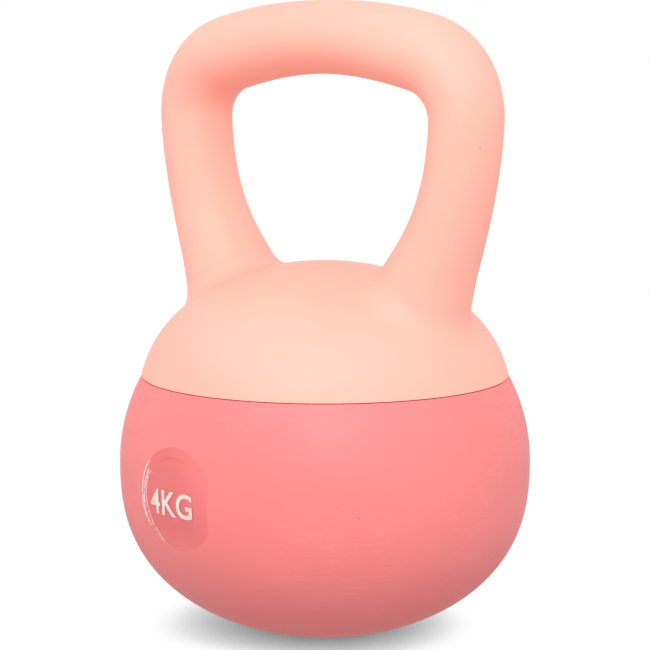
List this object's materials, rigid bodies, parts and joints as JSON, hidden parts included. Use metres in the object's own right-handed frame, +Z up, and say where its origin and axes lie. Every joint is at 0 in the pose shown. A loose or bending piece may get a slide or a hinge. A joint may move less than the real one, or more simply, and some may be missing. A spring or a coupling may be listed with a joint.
{
  "type": "kettlebell",
  "caption": "Soft sand-filled kettlebell with a two-tone flexible skin, a padded handle on a bent steel core and a flat foot.",
  "frame": {"origin": "on the floor under the centre of the ball, at the middle of the flat foot", "axes": "+Z up, the handle lies in the XZ plane and is symmetric about X = 0, -Y is the front that carries the weight label"},
  "size_m": [0.16, 0.1603, 0.2435],
  "materials": {
    "peach_skin": "satin moulded soft PVC, pale peach",
    "pink_skin": "satin moulded soft PVC, coral pink",
    "lap_band": "moulded PVC, bonded",
    "zinc_steel": "zinc plated mild steel",
    "black_plate": "black powder coat on steel plate",
    "handle_foam": "open-cell polyurethane foam",
    "firm_foam": "closed-cell EVA foam block",
    "guard_foam": "closed-cell EVA foam sheet",
    "sack_film": "woven polyethylene sack",
    "black_nylon": "nylon cable tie",
    "iron_sand": "loose dark iron sand",
    "rigid_plastic": "moulded rigid polypropylene",
    "plug_plastic": "moulded plastic, fine texture",
    "clear_film": "clear glossy adhesive film"
  },
  "bodies": {
    "root": {"upper_shell": "peach_skin", "lower_shell": "pink_skin", "seam_band": "lap_band", "handle_core": "zinc_steel", "core_end_plugs": "zinc_steel", "handle_foam": "handle_foam", "anchor_plate": "black_plate", "anchor_bolts": "zinc_steel", "anchor_washers": "zinc_steel", "dome_pad": "firm_foam", "bolt_guard_pad": "guard_foam", "sand_sack": "sack_film", "sack_tie": "black_nylon", "iron_sand": "iron_sand", "filler_neck": "rigid_plastic", "fill_plug": "plug_plastic", "weight_label": "clear_film"}
  },
  "joints": []
}
